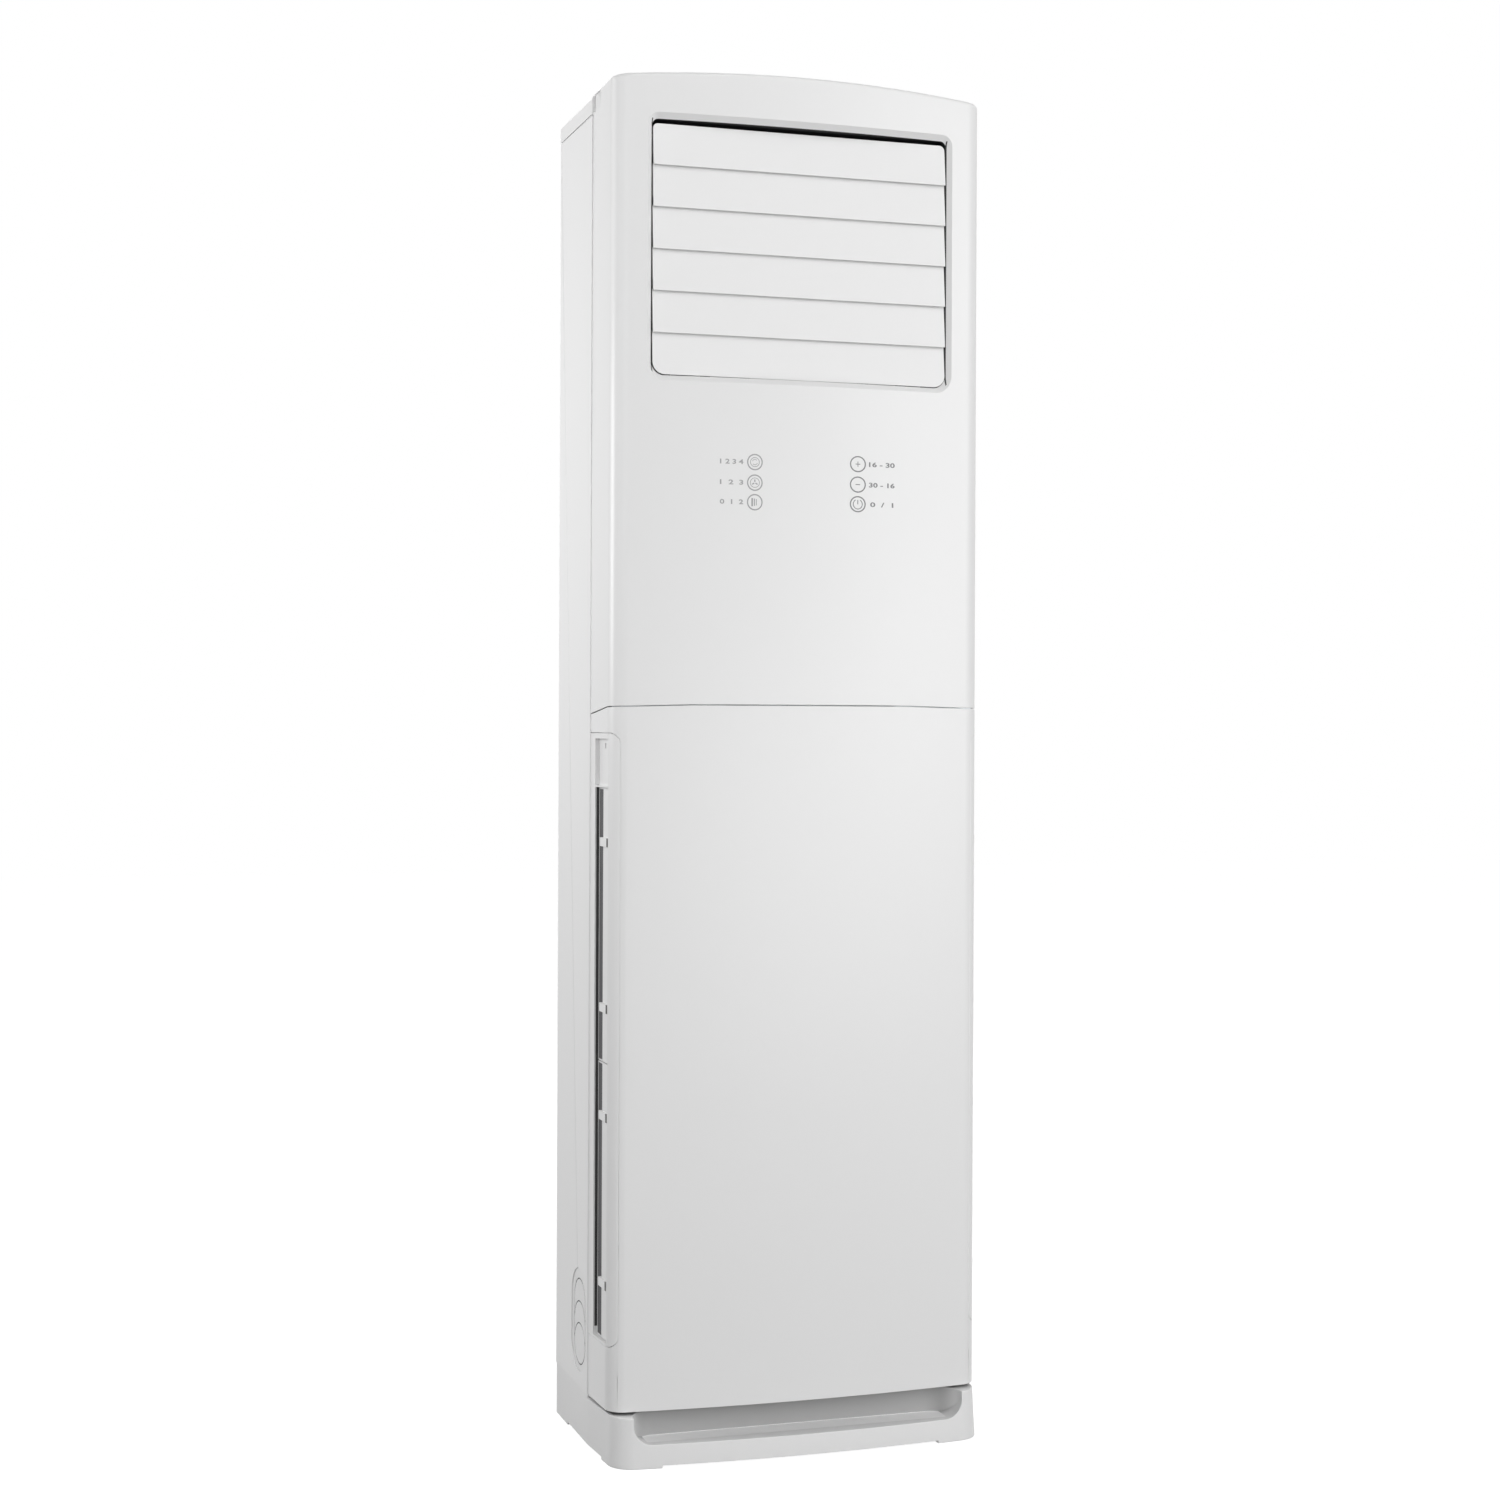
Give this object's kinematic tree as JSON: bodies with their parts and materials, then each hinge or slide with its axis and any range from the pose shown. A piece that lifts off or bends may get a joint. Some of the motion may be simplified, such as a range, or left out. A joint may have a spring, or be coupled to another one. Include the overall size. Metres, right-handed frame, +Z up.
{
  "type": "floor standing air conditioner",
  "caption": "Tall white indoor air conditioner with a bowed two-piece front, shingled louvres in a high outlet, flank filter intakes and a recessed base.",
  "frame": {"origin": "on the floor under the middle of the cabinet's bounding box", "axes": "+Z up, front faces -Y, +X to the right seen from the front"},
  "size_m": [0.5056, 0.2999, 1.75],
  "materials": {
    "white_plastic": "fine satin",
    "vane_plastic": "matt",
    "white_sheet": "satin powder coat",
    "zinc_sheet": "galvanised",
    "grey_plastic": "matt",
    "aluminium_fins": "satin",
    "copper": "drawn tube",
    "brass": "turned",
    "steel": "turned",
    "motor_metal": "satin",
    "foam": "foam",
    "hose_rubber": "matt",
    "circuit_board": "satin",
    "filter_net": "fine net"
  },
  "bodies": {
    "cabinet": {"back_panel": "white_sheet", "base_pan": "zinc_sheet", "base_plinth": "white_plastic", "box_lid": "zinc_sheet", "coil_end_plates": "zinc_sheet", "coil_tubes": "copper", "control_board": "circuit_board", "deck": "zinc_sheet", "drain_hose": "hose_rubber", "drain_pan": "grey_plastic", "duct_liner": "foam", "electric_box": "zinc_sheet", "fan_motor": "motor_metal", "fin_pack": "aluminium_fins", "flare_nuts": "brass", "gas_pipe": "copper", "inlet_bell": "grey_plastic", "inner_cover": "zinc_sheet", "left_intake_frame": "white_plastic", "left_side_panel": "white_sheet", "liquid_pipe": "copper", "louvre_motor": "motor_metal", "lower_front_panel": "white_plastic", "mid_rail": "zinc_sheet", "motor_mount": "zinc_sheet", "outlet_frame": "white_plastic", "pipe_knockout": "white_plastic", "right_intake_frame": "white_plastic", "right_side_panel": "white_sheet", "top_cover": "white_plastic", "touch_board": "circuit_board", "upper_front_panel": "white_plastic", "vane_motor": "motor_metal", "volute_housing": "grey_plastic"},
    "louvre_1": {"louvre_1": "white_plastic"},
    "louvre_2": {"louvre_2": "white_plastic"},
    "louvre_3": {"louvre_3": "white_plastic"},
    "louvre_4": {"louvre_4": "white_plastic"},
    "louvre_5": {"louvre_5": "white_plastic"},
    "louvre_6": {"louvre_6": "white_plastic"},
    "louvre_link": {"louvre_link": "white_plastic"},
    "vane_1": {"vane_1": "vane_plastic"},
    "vane_2": {"vane_2": "vane_plastic"},
    "vane_3": {"vane_3": "vane_plastic"},
    "vane_4": {"vane_4": "vane_plastic"},
    "vane_5": {"vane_5": "vane_plastic"},
    "vane_6": {"vane_6": "vane_plastic"},
    "vane_7": {"vane_7": "vane_plastic"},
    "vane_link": {"vane_link": "white_plastic"},
    "blower": {"blower_wheel": "grey_plastic", "blower_shaft": "steel", "shaft_nut": "steel"},
    "filter_left_lower": {"filter_frame_left_lower": "white_plastic", "filter_mesh_left_lower": "filter_net"},
    "filter_left_upper": {"filter_frame_left_upper": "white_plastic", "filter_mesh_left_upper": "filter_net"},
    "filter_right_lower": {"filter_frame_right_lower": "white_plastic", "filter_mesh_right_lower": "filter_net"},
    "filter_right_upper": {"filter_frame_right_upper": "white_plastic", "filter_mesh_right_upper": "filter_net"}
  },
  "joints": [
    {"name": "louvre_1_hinge", "type": "hinge", "parent": "cabinet", "child": "louvre_1", "pos_m": [0, -0.1, 1.65468], "axis": [-1, 0, 0], "range_deg": [0, 80]},
    {"name": "louvre_2_hinge", "type": "hinge", "parent": "cabinet", "child": "louvre_2", "pos_m": [0, -0.1, 1.60212], "axis": [-1, 0, 0], "range_deg": [0, 80]},
    {"name": "louvre_3_hinge", "type": "hinge", "parent": "cabinet", "child": "louvre_3", "pos_m": [0, -0.1, 1.54956], "axis": [-1, 0, 0], "range_deg": [0, 80]},
    {"name": "louvre_4_hinge", "type": "hinge", "parent": "cabinet", "child": "louvre_4", "pos_m": [0, -0.1, 1.497], "axis": [-1, 0, 0], "range_deg": [0, 80]},
    {"name": "louvre_5_hinge", "type": "hinge", "parent": "cabinet", "child": "louvre_5", "pos_m": [0, -0.1, 1.44444], "axis": [-1, 0, 0], "range_deg": [0, 80]},
    {"name": "louvre_6_hinge", "type": "hinge", "parent": "cabinet", "child": "louvre_6", "pos_m": [0, -0.1, 1.39188], "axis": [-1, 0, 0], "range_deg": [0, 80]},
    {"name": "louvre_link_pivot", "type": "hinge", "parent": "louvre_3", "child": "louvre_link", "pos_m": [0.2076, -0.08927, 1.55856], "axis": [-1, 0, 0], "range_deg": [-80, 0]},
    {"name": "vane_1_hinge", "type": "hinge", "parent": "cabinet", "child": "vane_1", "pos_m": [-0.162, -0.05, 1.5], "axis": [0, 0, 1], "range_deg": [-35, 35]},
    {"name": "vane_2_hinge", "type": "hinge", "parent": "cabinet", "child": "vane_2", "pos_m": [-0.108, -0.05, 1.5], "axis": [0, 0, 1], "range_deg": [-35, 35]},
    {"name": "vane_3_hinge", "type": "hinge", "parent": "cabinet", "child": "vane_3", "pos_m": [-0.054, -0.05, 1.5], "axis": [0, 0, 1], "range_deg": [-35, 35]},
    {"name": "vane_4_hinge", "type": "hinge", "parent": "cabinet", "child": "vane_4", "pos_m": [0, -0.05, 1.5], "axis": [0, 0, 1], "range_deg": [-35, 35]},
    {"name": "vane_5_hinge", "type": "hinge", "parent": "cabinet", "child": "vane_5", "pos_m": [0.054, -0.05, 1.5], "axis": [0, 0, 1], "range_deg": [-35, 35]},
    {"name": "vane_6_hinge", "type": "hinge", "parent": "cabinet", "child": "vane_6", "pos_m": [0.108, -0.05, 1.5], "axis": [0, 0, 1], "range_deg": [-35, 35]},
    {"name": "vane_7_hinge", "type": "hinge", "parent": "cabinet", "child": "vane_7", "pos_m": [0.162, -0.05, 1.5], "axis": [0, 0, 1], "range_deg": [-35, 35]},
    {"name": "vane_link_pivot", "type": "hinge", "parent": "vane_4", "child": "vane_link", "pos_m": [0, -0.036, 1.3666], "axis": [0, 0, 1], "range_deg": [-35, 35]},
    {"name": "blower_spin", "type": "hinge", "parent": "cabinet", "child": "blower", "pos_m": [0, 0.05, 0.4], "axis": [0, 1, 0], "continuous": true},
    {"name": "filter_left_lower_slide", "type": "slide", "parent": "cabinet", "child": "filter_left_lower", "axis": [-1, 0, 0], "range_m": [0, 0.06]},
    {"name": "filter_left_upper_slide", "type": "slide", "parent": "cabinet", "child": "filter_left_upper", "axis": [-1, 0, 0], "range_m": [0, 0.06]},
    {"name": "filter_right_lower_slide", "type": "slide", "parent": "cabinet", "child": "filter_right_lower", "axis": [1, 0, 0], "range_m": [0, 0.06]},
    {"name": "filter_right_upper_slide", "type": "slide", "parent": "cabinet", "child": "filter_right_upper", "axis": [1, 0, 0], "range_m": [0, 0.06]}
  ],
  "couplings": [
    {"joint": "louvre_1_hinge", "follows": "louvre_3_hinge", "ratio": 1},
    {"joint": "louvre_2_hinge", "follows": "louvre_3_hinge", "ratio": 1},
    {"joint": "louvre_4_hinge", "follows": "louvre_3_hinge", "ratio": 1},
    {"joint": "louvre_5_hinge", "follows": "louvre_3_hinge", "ratio": 1},
    {"joint": "louvre_6_hinge", "follows": "louvre_3_hinge", "ratio": 1},
    {"joint": "louvre_link_pivot", "follows": "louvre_3_hinge", "ratio": -1},
    {"joint": "vane_1_hinge", "follows": "vane_4_hinge", "ratio": 1},
    {"joint": "vane_2_hinge", "follows": "vane_4_hinge", "ratio": 1},
    {"joint": "vane_3_hinge", "follows": "vane_4_hinge", "ratio": 1},
    {"joint": "vane_5_hinge", "follows": "vane_4_hinge", "ratio": 1},
    {"joint": "vane_6_hinge", "follows": "vane_4_hinge", "ratio": 1},
    {"joint": "vane_7_hinge", "follows": "vane_4_hinge", "ratio": 1},
    {"joint": "vane_link_pivot", "follows": "vane_4_hinge", "ratio": -1}
  ]
}
